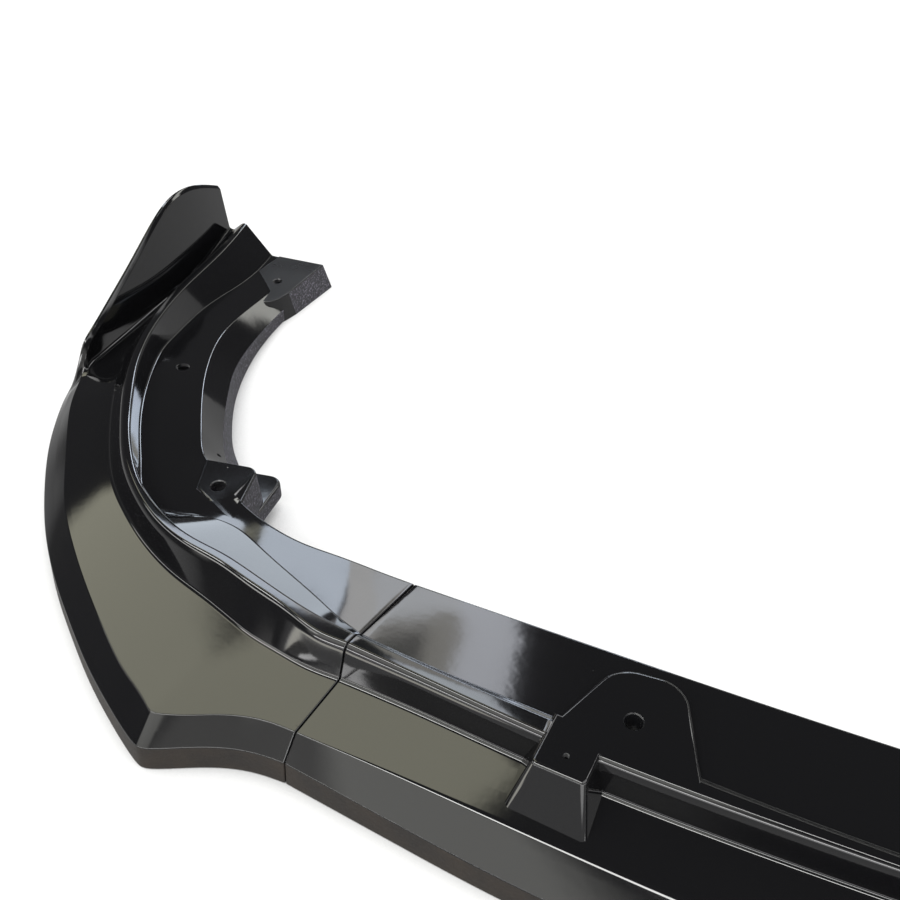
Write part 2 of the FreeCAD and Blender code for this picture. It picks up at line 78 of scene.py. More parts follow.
# Guide lines of the skin on the -X half, in millimetres: a height, then centre points (share of the
# way to the seam, y) and corner points (distance outboard of the seam, y), some with a lift.
GUIDES = {
    "lip": (
        LIP_HEIGHT,
        [(0.0, -286), (0.37, -282), (0.70, -271), (0.94, -254)],
        [(17, -247), (37, -247), (59, -251), (76, -257), (99, -266.8), (105, -268.7), (109, -269),
         (113, -267.8), (119, -264.8), (145, -249), (177, -227), (212, -199), (241, -174), (264, -152),
         (286, -127), (306, -101), (329, -68), (350, -30), (367, 10), (376, 50), (380, 100), (380, 180),
         (377, 292)],
    ),
    "face_edge": (
        FACE_HEIGHT,
        [(0.0, -262), (0.37, -258), (0.70, -248), (0.94, -238)],
        [(12, -235), (32, -234), (55, -237), (79, -246), (99, -252.6), (104.5, -253.4), (107, -252.9),
         (109.5, -251.3), (116, -247), (142, -231), (175, -206), (213, -174), (239, -150), (270, -117),
         (294, -84), (319, -47), (337, -18), (347, 4), (354, 22, 1), (355, 30, 8), (353, 37, 19),
         (354, 60, 28), (355, 85, 37), (357, 142, 59), (359, 184, 74), (360, 215, 75.5),
         (359, 244, 68.5), (358.5, 263, 60.5), (358, 284, 48)],
    ),
    "fin_foot": (
        FACE_HEIGHT,
        [(0.0, -258), (0.94, -234)],
        [(12, -231), (55, -233), (104, -249), (113, -243), (210, -170), (291, -81), (333, -14),
         (345, 10, 1), (354, 30, 2), (353, 47, 3), (349, 91, 4), (345, 153, 5), (346, 211, 6),
         (355, 284, 10)],
    ),
    "wall_foot": (
        WALL_FOOT_HEIGHT,
        [(0.0, -221), (0.33, -219.5), (0.65, -213), (0.88, -201)],
        [(0, -195), (24, -194), (47, -190), (73, -184), (102, -173), (126, -164), (150, -155),
         (174, -143), (205, -123), (230, -103), (251, -82), (273, -52), (297, -14), (314, 19),
         (327, 54), (336, 95), (341, 150), (343, 210), (350.5, 284)],
    ),
    "ridge_front": (
        RIDGE_HEIGHT,
        [(0.0, -218), (0.33, -216.5), (0.65, -209), (0.88, -196)],
        [(0, -187), (24, -184.5), (53, -173), (89, -161), (114, -153), (142, -147), (163, -140),
         (193, -122), (220, -99), (239, -77), (258, -50, -2), (278, -18, -3), (301, 26, -5),
         (320, 84, -7), (330, 157, -10), (332, 212, -12), (338.5, 284, -16.5)],
    ),
    "ridge_back": (
        RIDGE_HEIGHT,
        [(0.0, -212), (0.33, -209), (0.60, -200), (0.88, -185)],
        [(0, -177), (24, -173), (57, -164), (90, -153), (114, -146), (142, -140), (160, -133.5),
         (189, -116), (215, -94), (233, -73), (252, -47, -2), (271, -15, -3), (294, 28, -5),
         (313, 86, -7), (323, 158, -10), (325, 212, -12), (335, 284, -17)],
    ),
    "crease": (
        FLANGE_HEIGHT,
        [(0.0, -208), (0.33, -205), (0.60, -196), (0.88, -181)],
        [(0, -172.5), (36, -155, -2.5), (71, -137, -5.5), (100, -122, -7.5), (128, -109.5, -9.5),
         (150, -108, -10), (178, -108, -11), (198, -106.5, -11.5), (208, -101, -12), (217, -90, -12),
         (227, -76, -12.5), (249, -44, -14.5), (271, -8, -16.5), (283, 16, -18.5), (294, 42, -20.5),
         (304, 72, -23.5), (308, 105, -26.5), (311, 143, -30.5), (309, 180, -34.5), (306, 228, -41),
         (309, 284, -44)],
    ),
    "flange_edge": (
        REAR_EDGE_HEIGHT,
        [(0.0, -139), (0.47, -134), (0.91, -122)],
        [(6, -118.5), (40, -115), (71, -111, -2), (105, -101, -4), (137, -84, -8), (167, -62, -12),
         (188, -47, -15), (203, -28, -16), (221, 1, -18), (243, 40, -21), (261, 80, -25),
         (270, 107, -28), (277, 148, -33), (277, 189, -38), (276, 240, -43), (272, 292, -44)],
    ),
    "arch_edge": (
        REAR_EDGE_HEIGHT,
        [(0.0, -138.5, -4), (0.47, -133.5, -4), (0.91, -121.5, -4)],
        [(6, -118, -4), (40, -114.5, -5), (71, -110, -8), (105, -98, -13), (137, -76, -24),
         (167, -43, -33), (188, -22, -37), (199, -7, -38), (219, 29, -39), (232, 57, -41),
         (245, 88, -44), (254, 123, -48), (259, 165, -52), (260, 209, -55), (255, 250, -56),
         (248, 294, -57)],
    ),
    "arch_foot": (
        0.0,
        [(0.0, -138, 58), (0.47, -133, 58), (0.91, -121, 58)],
        [(6, -117.5, 58), (40, -113.5, 57), (71, -108, 54), (105, -95, 46), (137, -68, 26),
         (167, -32, 5), (190, -2), (205, 14), (220, 36), (236, 67), (249, 104), (257, 142), (260, 188),
         (257, 227), (251, 261), (246, 296)],
    ),
}
PROFILE = ["foot", "lip", "crest", "face_edge", "fin_foot", "wall_foot", "ridge_front", "ridge_back",
           "crease", "flange_edge", "arch_edge", "arch_foot"]
RIDGE = PROFILE.index("ridge_front")

# How round each corner of the outside is, in millimetres, and how many strips follow each corner
ROUND = {"foot": 0.8, "lip": 1.8, "crest": 1.6, "face_edge": 1.6, "fin_foot": 2.5, "wall_foot": 4.0,
         "ridge_front": 4.0, "ridge_back": 2.8, "crease": 2.0, "flange_edge": 1.8, "arch_edge": 1.4,
         "arch_foot": 0.8}
WALL_SIDE_SHARE = 2.4
STRIPS = {"lip": 2, "crest": 2, "fin_foot": 4, "wall_foot": 2, "crease": 4, "flange_edge": 2}
ROUND_STEPS = 4
LARGEST_CUT = 0.45
SMALLEST_CUT = 0.1
SEAM_PLANE = ((19, -248), (-16, -122))
CENTRE_PLANES = [0.0, 0.25, 0.5, 0.75, 0.9]
CENTRE_SPACING = 8.0
END_ROUND = 1.2


class Rail:
    """A smooth line through points, at the pace of its own length or at a pace shared with others."""

    def __init__(self, points, pace=None):
        self.points = np.array(points, float)
        if pace is None:
            steps = np.linalg.norm(np.diff(self.points, axis=0), axis=1)
            pace = np.concatenate(([0.0], np.cumsum(steps)))
        self.pace = np.array(pace, float)
        gaps = np.diff(self.pace)
        slopes = np.diff(self.points, axis=0) / gaps[:, None]
        count = len(self.points)
        system, pull = np.eye(count), np.zeros((count, 3))
        for k in range(1, count - 1):
            system[k, k - 1:k + 2] = gaps[k - 1], 2 * (gaps[k - 1] + gaps[k]), gaps[k]
            pull[k] = 6 * (slopes[k] - slopes[k - 1])
        self.bend = np.linalg.solve(system, pull)

    def at(self, places):
        k = np.clip(np.searchsorted(self.pace, places) - 1, 0, len(self.pace) - 2)
        gap = self.pace[k + 1] - self.pace[k]
        after = ((places - self.pace[k]) / gap)[:, None]
        before = 1 - after
        straight = before * self.points[k] + after * self.points[k + 1]
        bend = (before**3 - before) * self.bend[k] + (after**3 - after) * self.bend[k + 1]
        return straight + bend * (gap**2 / 6)[:, None]


def guide_line(name):
    """Points close together along a guide, from the far end of the +X half to that of the -X half."""
    height, centre, corner = GUIDES[name]
    points = [(-share * CENTRE_HALF, y, height + sum(lift)) for share, y, *lift in centre]
    points += [(-CENTRE_HALF - out, y, height + sum(lift)) for out, y, *lift in corner]
    mirrored = [(-x, y, z) for x, y, z in reversed(points[1:])]
    rail = Rail(mirrored + points)
    return rail.at(np.linspace(0, rail.pace[-1], 6001))


LINES = {name: guide_line(name) for name in GUIDES}


class Station:
    """An upright section plane from a front point towards a rear point."""

    def __init__(self, front, rear):
        self.front = np.array(front, float)
        along = np.array(rear, float) - self.front
        self.along = along / np.linalg.norm(along)
        self.normal = np.array((self.along[1], -self.along[0]))

    def moved(self, distance):
        start = self.front + self.normal * distance
        return Station(start, start + self.along)

    def crossing(self, name):
        """Distance along the plane and height where a guide line passes through it."""
        line = LINES[name][len(LINES[name]) // 2 - 8:]
        side = (line[:, :2] - self.front) @ self.normal
        k = int(np.argmax(side * side[0] <= 0))
        share = side[k - 1] / (side[k - 1] - side[k])
        point = line[k - 1] * (1 - share) + line[k] * share
        return np.array(((point[:2] - self.front) @ self.along, point[2]))

    def place(self, pair):
        return np.array((*(self.front + self.along * pair[0]), pair[1]))


def corner_station(planes):
    (front, front_y), (rear, rear_y) = planes
    return Station((-CENTRE_HALF - front, front_y), (-CENTRE_HALF - rear, rear_y))


def towards(start, end, distance):
    return start + (end - start) * distance / np.linalg.norm(end - start)


def meeting(first, second):
    """Where two lines of a section cross, or the start of the second where they run alike."""
    step, other = first[1] - first[0], second[1] - second[0]
    cross = step[0] * other[1] - step[1] * other[0]
    if abs(cross) < 1e-3 * np.linalg.norm(step) * np.linalg.norm(other):
        return second[0]
    gap = second[0] - first[0]
    return first[0] + step * (gap[0] * other[1] - gap[1] * other[0]) / cross


def outer_profile(station, rim_width):
    """Corners of the skin's outside, from the front rim to the rear rim."""
    lip, edge = station.crossing("lip"), station.crossing("face_edge")
    wall_foot = station.crossing("wall_foot")
    foot = np.array((lip[0] - LIP_DRAFT, 0.0))
    fin = min(max((edge[1] - FACE_HEIGHT) / FIN_BLEND, 0.0), 1.0)
    fin_crest = edge + (-CORNER_RIM_WIDTH, RIM_RISE)
    crest = (lip + edge) / 2 * (1 - fin) + fin_crest * fin
    low_edge = np.minimum(edge, (edge[0], FACE_HEIGHT))
    fin_foot = towards(low_edge, wall_foot, rim_width) * (1 - fin) + station.crossing("fin_foot") * fin
    rest = [station.crossing(name) for name in PROFILE[RIDGE:]]
    return [foot, lip, crest, edge, fin_foot, wall_foot] + rest


def inner_profile(outer):
    """Corners of the skin's inside, an even wall from its outside. The fin closes to a blunt edge."""
    lines = []
    for start, end in zip(outer, outer[1:]):
        aside = np.array((end[1] - start[1], start[0] - end[0])) / np.linalg.norm(end - start) * WALL
        lines.append((start + aside, end + aside))
    apex = meeting(lines[1], lines[3])
    front, rear = meeting(lines[0], lines[1]), meeting(lines[3], lines[4])
    inner = [outer[0] + (WALL, 0.0), front]
    inner += [towards(apex, front, INNER_FIN_EDGE), towards(apex, rear, INNER_FIN_EDGE)]
    inner += [meeting(lines[k - 1], lines[k]) for k in range(4, len(outer) - 1)]
    return inner + [outer[-1] - (WALL, 0.0)]


def section_ring(station, rim_width):
    outer = outer_profile(station, rim_width)
    return [station.place(pair) for pair in outer + inner_profile(outer)[::-1]]


def length(vectors):
    return np.linalg.norm(vectors, axis=-1, keepdims=True)


def dense_rings(rings, spacing):
    """Section rings close together, on smooth rails through the corners of a few rings."""
    rings = np.array(rings)
    steps = length(np.diff(rings, axis=0))
    pace = np.concatenate(([0.0], np.cumsum(steps[:, RIDGE, 0])))
    places = [pace[0]]
    for k, reach in enumerate(steps.max(axis=1)[:, 0]):
        parts = max(3, math.ceil(reach / spacing))
        places += list(np.linspace(pace[k], pace[k + 1], parts + 1)[1:])
    return np.stack([Rail(rail, pace).at(np.array(places)) for rail in rings.swapaxes(0, 1)], axis=1)


def rounded_rings(rings, edge_round):
    """Rings with the corners of the outside rounded, and the strips between corners divided.

    Each point comes with the strip that starts at it: the number of its corner on the way round.
    """
    before, after = np.roll(rings, 1, axis=1) - rings, np.roll(rings, -1, axis=1) - rings
    reach = np.minimum(length(before), length(after)) * LARGEST_CUT
    alike = (before * after).sum(axis=2, keepdims=True) / length(before) / length(after)
    turn = np.arccos(np.clip(-alike, -1, 1))
    columns, strips = [], []
    for corner in range(rings.shape[1]):
        name = PROFILE[corner] if corner < len(PROFILE) else None
        here = there = rings[:, corner]
        if name:
            radius = edge_round[:, None] if name == "face_edge" else ROUND[name]
            cut = np.minimum(np.maximum(radius * np.tan(turn[:, corner] / 2), SMALLEST_CUT), reach[:, corner])
            reach_back = cut * WALL_SIDE_SHARE if name == "ridge_front" else cut
            here = rings[:, corner] + before[:, corner] / length(before[:, corner]) * reach_back
            there = rings[:, corner] + after[:, corner] / length(after[:, corner]) * cut
            pull = np.cos(turn[:, corner] / 2)
            steps = ROUND_STEPS * (2 if name == "ridge_front" else 1)
            for step in range(steps):
                s = step / steps
                weights = (1 - s)**2, 2 * s * (1 - s) * pull, s**2
                total = weights[0] + weights[1] + weights[2]
                point = weights[0] * here + weights[1] * rings[:, corner] + weights[2] * there
                columns.append(point / total)
                strips.append(corner)
        columns.append(there)
        strips.append(corner)
    result, owners = [], []
    for k, column in enumerate(columns):
        result.append(column)
        owners.append(strips[k])
        last_of_corner = strips[(k + 1) % len(strips)] != strips[k]
        name = PROFILE[strips[k]] if strips[k] < len(PROFILE) - 1 else None
        parts = STRIPS.get(name, 1) if last_of_corner else 1
        for part in range(1, parts):
            result.append(column + (columns[(k + 1) % len(columns)] - column) * part / parts)
            owners.append(strips[k])
    return np.stack(result, axis=1), owners


def eased_end(rings, owners, radius):
    """Rings whose first end is rounded over on the outside of the skin."""
    first = rings[0]
    inward = (rings[1] - first) / length(rings[1] - first)
    across = np.roll(first, -1, axis=0) - np.roll(first, 1, axis=0)
    out = np.cross(across, inward)
    ridge = owners.index(RIDGE)
    out = out / length(out) * math.copysign(1, out[ridge, 2])
    outside = np.array([owner < len(PROFILE) - 1 for owner in owners])
    fresh = []
    for angle in (75, 55, 35, 15):
        shrink = radius * (1 - math.cos(math.radians(angle)))
        along = radius * (1 - math.sin(math.radians(angle)))
        fresh.append(first + inward * along - out * (shrink * outside)[:, None])
    keep = length(rings[:, ridge] - first[ridge])[:, 0] > radius * 1.5
    return np.concatenate((np.array(fresh), rings[keep]))


# The finishes of a moulding, by their place in its list of materials
GLOSS, RAW, DULL, SATIN = range(4)


def skin_object(name, rings, owners, materials):
    """A closed mesh of quads between rings, capped at both ends.

    The front skirt is dull, the arch skirt and the whole inside are raw, and the rest is painted.
    """
    count, width = rings.shape[:2]
    first_bare = PROFILE.index("arch_edge")
    mesh = bpy.data.meshes.new(name)
    form = bmesh.new()
    points = [form.verts.new(Vector(point) * MM) for point in rings.reshape(-1, 3)]
    for ring in range(count - 1):
        for k in range(width):
            after = (k + 1) % width
            corners = (ring * width + k, ring * width + after,
                       (ring + 1) * width + after, (ring + 1) * width + k)
            face = form.faces.new([points[corner] for corner in corners])
            painted = DULL if owners[k] == 0 else GLOSS
            face.material_index = RAW if owners[k] >= first_bare else painted
    for start in (0, (count - 1) * width):
        form.faces.new(points[start:start + width])
    bmesh.ops.recalc_face_normals(form, faces=form.faces)
    form.to_mesh(mesh)
    form.free()
    piece = bpy.data.objects.new(name, mesh)
    bpy.context.scene.collection.objects.link(piece)
    for material in materials:
        mesh.materials.append(material)
    return piece


class Value:
    """A socket in a material. Arithmetic on it adds Math nodes."""

    def __init__(self, finish, socket):
        self.finish, self.socket = finish, socket

    def maths(self, operation, first, second=None):
        inputs = {0: first} if second is None else {0: first, 1: second}
        return self.finish.node("ShaderNodeMath", {"operation": operation}, inputs)

    def __add__(self, other):
        return self.maths("ADD", self, other)

    def __sub__(self, other):
        return self.maths("SUBTRACT", self, other)

    def __rsub__(self, other):
        return self.maths("SUBTRACT", other, self)

    def __mul__(self, other):
        return self.maths("MULTIPLY", self, other)

    def __lt__(self, other):
        return self.maths("LESS_THAN", self, other)

    def __gt__(self, other):
        return self.maths("GREATER_THAN", self, other)

    __radd__, __rmul__ = __add__, __mul__


class Finish:
    """A material under construction: its nodes are added by one method."""

    def __init__(self, name, tree=None):
        if tree is None:
            self.material = bpy.data.materials.new(name)
            self.material.use_nodes = True
            tree = self.material.node_tree
        self.tree = tree

    def put(self, socket, value):
        if isinstance(value, Value):
            self.tree.links.new(value.socket, socket)
        else:
            socket.default_value = value

    def node(self, kind, settings=None, inputs=None, output=0):
        node = self.tree.nodes.new(kind)
        for name, value in (settings or {}).items():
            if name == "stops":
                for spot, (place, colour) in enumerate(value):
                    if spot > 1:
                        node.color_ramp.elements.new(place)
                    node.color_ramp.elements[spot].position = place
                    node.color_ramp.elements[spot].color = colour
            else:
                setattr(node, name, value)
        for name, value in (inputs or {}).items():
            self.put(node.inputs[name], value)
        return Value(self, node.outputs[output])

    def surface(self, **sockets):
        shader = self.tree.nodes["Principled BSDF"]
        for name, value in sockets.items():
            self.put(shader.inputs[name.replace("_", " ")], value)

    def places(self):
        return self.node("ShaderNodeTexCoord", output="Object")

    def noise(self, places, scale, detail=2.0):
        return self.node("ShaderNodeTexNoise", None,
                         {"Vector": places, "Scale": scale, "Detail": detail}, output="Fac")

    def bump(self, height, distance, strength=1.0):
        return self.node("ShaderNodeBump", None,
                         {"Height": height, "Distance": distance, "Strength": strength})

    def mix(self, share, first, second):
        return self.node("ShaderNodeMix", {"data_type": "RGBA"},
                         {"Factor": share, 6: first, 7: second}, output=2)


def gloss_black_paint():
    """Deep black lacquer with a trace of orange peel and a few specks of dust."""
    finish = Finish("gloss_black_paint")
    places = finish.places()
    peel = finish.noise(places, 170.0, 1.0)
    drift = finish.noise(places, 9.0, 2.0)
    speck = finish.node("ShaderNodeTexVoronoi", None, {"Vector": places, "Scale": 60.0}, output="Distance")
    dust = (speck < 0.022) * (finish.noise(places, 31.0) > 0.56)
    colour = finish.mix(dust, (0.0030, 0.0030, 0.0034, 1), (0.25, 0.25, 0.24, 1))
    finish.surface(Base_Color=colour, Roughness=0.045 + drift * 0.035 + dust * 0.3, IOR=1.5,
                   Normal=finish.bump(peel, 0.00003, 0.35))
    return finish.material


def raw_plastic():
    """The sheet's bare back and trimmed edges: rough dark grey with pale grains."""
    finish = Finish("raw_plastic")
    places = finish.places()
    grain = finish.noise(places, 600.0, 3.0)
    patch = finish.noise(places, 60.0, 3.0)
    pale = finish.node("ShaderNodeMapRange", None, {"Value": grain, "From Min": 0.52, "From Max": 0.70}) * 0.8
    pale = pale + patch * 0.15
    colour = finish.mix(pale, (0.010, 0.010, 0.012, 1), (0.17, 0.16, 0.20, 1))
    finish.surface(Base_Color=colour, Roughness=0.62 + patch * 0.2,
                   Normal=finish.bump(grain, 0.0012, 0.8))
    return finish.material


def dull_black_skirt():
    """The front skirt under the lip: thin overspray on the sheet, dull black with a faint brown cast."""
    finish = Finish("dull_black_skirt")
    places = finish.places()
    patch = finish.noise(places, 45.0, 3.0)
    grain = finish.noise(places, 420.0, 2.0)
    colour = finish.mix(patch, (0.0045, 0.0045, 0.0050, 1), (0.020, 0.014, 0.009, 1))
    finish.surface(Base_Color=colour, Roughness=0.42 + grain * 0.2, IOR=1.36,
                   Normal=finish.bump(grain, 0.0004, 0.5))
    return finish.material


def deselect_all():
    bpy.ops.object.select_all(action="DESELECT")


def activate(piece):
    deselect_all()
    piece.select_set(True)
    bpy.context.view_layer.objects.active = piece


def raised_block(name, base, top, low, high, corner_round, edge_round, corners=()):
    """A block from a base outline to a top outline, with some upright edges and its top edge rounded.

    Outlines are (distance outboard of the seam, y) corners in millimetres, and corners says which.
    """
    deselect_all()
    bpy.ops.mesh.primitive_circle_add(vertices=len(base), radius=1, fill_type="NGON")
    block = bpy.context.object
    block.name = name
    for vertex, (out, y) in zip(block.data.vertices, base):
        vertex.co = Vector((-CENTRE_HALF - out, y, low)) * MM
    bpy.ops.object.mode_set(mode="EDIT")
    bpy.ops.mesh.select_mode(type="VERT")
    bpy.ops.mesh.select_all(action="SELECT")
    bpy.ops.mesh.extrude_region_move(TRANSFORM_OT_translate={"value": (0, 0, (high - low) * MM)})
    form = bmesh.from_edit_mesh(block.data)
    form.verts.ensure_lookup_table()
    upper = [vertex for vertex in form.verts if vertex.select]
    near = [((-CENTRE_HALF - out) * MM, y * MM) for out, y in base]
    for vertex in upper:
        spot = min(range(len(near)), key=lambda k: math.dist(near[k], vertex.co[:2]))
        vertex.co.x, vertex.co.y = (-CENTRE_HALF - top[spot][0]) * MM, top[spot][1] * MM
    bmesh.update_edit_mesh(block.data)
    if corners:
        bpy.ops.mesh.select_mode(type="EDGE")
        bpy.ops.mesh.select_all(action="DESELECT")
        form = bmesh.from_edit_mesh(block.data)
        for edge in form.edges:
            lower, higher = sorted(edge.verts, key=lambda vertex: vertex.co.z)
            if higher.co.z - lower.co.z > 0.9 * (high - low) * MM:
                spot = min(range(len(near)), key=lambda k: math.dist(near[k], lower.co[:2]))
                edge.select_set(spot in corners)
        bmesh.update_edit_mesh(block.data)
        bpy.ops.mesh.bevel(offset=corner_round * MM, segments=10, affect="EDGES")
    bpy.ops.mesh.select_mode(type="EDGE")
    bpy.ops.mesh.select_all(action="DESELECT")
    form = bmesh.from_edit_mesh(block.data)
    for edge in form.edges:
        edge.select_set(all(abs(vertex.co.z - high * MM) < 1e-6 for vertex in edge.verts))
    bmesh.update_edit_mesh(block.data)
    if edge_round:
        bpy.ops.mesh.bevel(offset=edge_round * MM, segments=5, affect="EDGES")
    bpy.ops.mesh.select_all(action="SELECT")
    bpy.ops.mesh.normals_make_consistent(inside=False)
    bpy.ops.object.mode_set(mode="OBJECT")
    return block


def drill(name, place, radius, surface, depth=12.0, lead=0.7):
    """A drill for an upright hole with a small lead-in at the surface. Sizes are in millimetres."""
    deselect_all()
    bpy.ops.mesh.primitive_cylinder_add(
        vertices=48, radius=radius * MM, depth=depth * MM,
        location=Vector((-CENTRE_HALF - place[0], place[1], surface - lead - depth / 2)) * MM)
    tool = bpy.context.object
    tool.name = name
    bpy.ops.object.mode_set(mode="EDIT")
    bpy.ops.mesh.select_mode(type="FACE")
    bpy.ops.mesh.select_all(action="DESELECT")
    form = bmesh.from_edit_mesh(tool.data)
    for face in form.faces:
        face.select_set(face.normal.z > 0.9)
    bmesh.update_edit_mesh(tool.data)
    scale = (radius + 2 * lead) / radius
    bpy.ops.mesh.extrude_region_move(TRANSFORM_OT_translate={"value": (0, 0, 2 * lead * MM)})
    bpy.ops.transform.resize(value=(scale, scale, 1))
    bpy.ops.object.mode_set(mode="OBJECT")
    bpy.ops.object.transform_apply(location=True)
    return tool


def collar(place, radius, surface):
    """The short tube that stands under a hole, from just below the surface down."""
    deselect_all()
    bpy.ops.mesh.primitive_cylinder_add(
        vertices=48, radius=(radius + COLLAR_WALL) * MM, depth=(COLLAR_DEPTH - WALL / 2) * MM,
        location=Vector((-CENTRE_HALF - place[0], place[1], surface - (COLLAR_DEPTH + WALL / 2) / 2)) * MM)
    tube = bpy.context.object
    bpy.ops.object.transform_apply(location=True)
    return tube


def satin_black_overspray():
    """The thin last coat over the rear tabs and in the holes: black with a soft sheen."""
    finish = Finish("satin_black_overspray")
    places = finish.places()
    patch = finish.noise(places, 30.0, 2.0)
    grain = finish.noise(places, 260.0, 2.0)
    colour = finish.mix(patch, (0.0040, 0.0042, 0.0050, 1), (0.0090, 0.0090, 0.0100, 1))
    finish.surface(Base_Color=colour, Roughness=0.24 + patch * 0.10, Normal=finish.bump(grain, 0.0001, 0.4))
    return finish.material


def mirrored_copy(piece, name):
    """The same thing on the other side of the car, with its own mesh."""
    copy = piece.copy()
    copy.data = piece.data.copy()
    copy.name = name
    bpy.context.scene.collection.objects.link(copy)
    for vertex in copy.data.vertices:
        vertex.co.x = -vertex.co.x
    copy.data.flip_normals()
    return copy


def combine(piece, tool, operation, material=GLOSS, top=GLOSS, front=None):
    """Adds a tool to a piece or cuts it away, and removes the tool.

    Faces of an added tool that look up take the top material, and where one is given, those that
    look forward the front material.
    """
    activate(piece)
    while len(tool.data.materials) < len(piece.data.materials):
        tool.data.materials.append(piece.data.materials[len(tool.data.materials)])
    for face in tool.data.polygons:
        face.material_index = material
        if operation == "UNION" and face.normal.z > 0.3:
            face.material_index = top
        elif front is not None and face.normal.y < -0.2:
            face.material_index = front
    modifier = piece.modifiers.new(operation.lower(), "BOOLEAN")
    modifier.operation = operation
    modifier.object = tool
    modifier.solver = "MANIFOLD"
    bpy.ops.object.modifier_apply(modifier=modifier.name)
    bpy.data.objects.remove(tool)


def finish_surface(piece):
    """Flat faces shade flat and rounded ones shade smooth, with sharp inner corners."""
    activate(piece)
    bpy.ops.object.mode_set(mode="EDIT")
    bpy.ops.mesh.select_all(action="SELECT")
    bpy.ops.mesh.dissolve_limited(angle_limit=math.radians(0.01), delimit={"MATERIAL"})
    bpy.ops.object.mode_set(mode="OBJECT")
    bpy.ops.object.shade_smooth_by_angle(angle=math.radians(32))
    modifier = piece.modifiers.new("even_normals", "WEIGHTED_NORMAL")
    modifier.keep_sharp = True
    modifier.weight = 80
    bpy.ops.object.modifier_apply(modifier=modifier.name)


def inset(outline, distance):
    """A convex outline, moved inwards by a distance on every side."""
    points = [np.array(point, float) for point in outline]
    area = sum(a[0] * b[1] - b[0] * a[1] for a, b in zip(points, points[1:] + points[:1]))
    lines = []
    for start, end in zip(points, points[1:] + points[:1]):
        along = (end - start) / np.linalg.norm(end - start)
        aside = np.array((-along[1], along[0])) * math.copysign(distance, area)
        lines.append((start + aside, end + aside))
    return [meeting(lines[k - 1], lines[k]) for k in range(len(lines))]


def core(base, top, low, high):
    """What is hollow under a raised block, an even wall from its outside."""
    return raised_block("core", inset(base, WALL), inset(top, WALL), low - WALL, high - WALL, 0, 0)


def end_wall(side):
    """The upright wall that closes a moulding at a seam: side is 1 on the centre, -1 on the corner."""
    station = seam.moved(side * HALF_GAP)
    outer = outer_profile(station, CORNER_RIM_WIDTH)
    inner = inner_profile(outer)
    edge = [(outer[PROFILE.index(name)] + inner[PROFILE.index(name)]) / 2 for name in END_WALL_CORNERS]
    corners = [np.array((edge[0][0], END_WALL_FOOT))] + edge
    corners += [np.array((edge[-1][0], edge[-1][1] - END_WALL_DEPTH))]
    face = [Vector(station.place(pair)) * MM for pair in corners]
    step = Vector((*station.normal, 0)) * (side * END_WALL * MM)
    count = len(face)
    mesh = bpy.data.meshes.new("end_wall")
    sides = [(k, (k + 1) % count, count + (k + 1) % count, count + k) for k in range(count)]
    mesh.from_pydata(face + [point + step for point in face], [],
                     [tuple(range(count))[::-1], tuple(range(count, 2 * count))] + sides)
    wall = bpy.data.objects.new("end_wall", mesh)
    bpy.context.scene.collection.objects.link(wall)
    activate(wall)
    bpy.ops.object.mode_set(mode="EDIT")
    bpy.ops.mesh.select_all(action="SELECT")
    bpy.ops.mesh.normals_make_consistent(inside=False)
    bpy.ops.object.mode_set(mode="OBJECT")
    return wall


def settle(piece, node):
    """Sets a finished moulding back to the middle of the footprint, in place of its node and in its box."""
    finish_surface(piece)
    for vertex in piece.data.vertices:
        vertex.co.y += SET_BACK * MM
        vertex.co = [min(max(part, low), high) for part, low, high in zip(vertex.co, cad_low, cad_high)]
    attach(piece, "root")
    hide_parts(node)


END_WALL = 3.0
END_WALL_FOOT = 12.0
END_WALL_DEPTH = 26.0
END_WALL_CORNERS = ["lip", "face_edge", "wall_foot", "ridge_front", "ridge_back", "crease", "flange_edge"]

materials = (gloss_black_paint(), raw_plastic(), dull_black_skirt(), satin_black_overspray())
seam = corner_station(SEAM_PLANE)
half_rings = []
for share in CENTRE_PLANES:
    half_rings.append(section_ring(Station((-share * CENTRE_HALF, -300), (-share * CENTRE_HALF, -100)),
                                   CENTRE_RIM_WIDTH))
half_rings.append(section_ring(seam.moved(HALF_GAP), CENTRE_RIM_WIDTH))
other_rings = [[point * (-1, 1, 1) for point in ring] for ring in reversed(half_rings[1:])]
rings = dense_rings(other_rings + half_rings, CENTRE_SPACING)
from_seam = CENTRE_HALF - np.abs(rings[:, 3, 0])
rings, owners = rounded_rings(rings, np.interp(from_seam, (0, 60, 200, 480), (1.6, 5, 12, 22)))
for turned in range(2):
    rings = eased_end(rings, owners, END_ROUND)[::-1]
centre = skin_object("centre_section_shell", rings, owners, materials)

PAD = [(-133, -196), (-158, -143), (-200, -142), (-222, -207)]
PAD_FOOT = [(-133, -196), (-156, -141), (-201, -140), (-226, -207)]
PAD_HOLE = (-177, -178)
PAD_ROUND = 14.0
LUG_TOP = [(-133, -188), (-129, -224), (-162, -227), (-166, -188)]
LUG_BASE = [(-117, -198), (-117, -239), (-170, -245), (-174, -202)]
LUG_ROUND = 3.5
LUG_HOLE = (-147, -214)
PAD_HEIGHT = 72.2
PAD_HOLE_RADIUS = 5.5
PILOT_RADIUS = 1.75
COLLAR_WALL = 2.5
COLLAR_DEPTH = 20.0
BLOCK_EDGE = 1.8
BLOCK_FLOOR = 64.5
LUG_FLOOR = 35.0

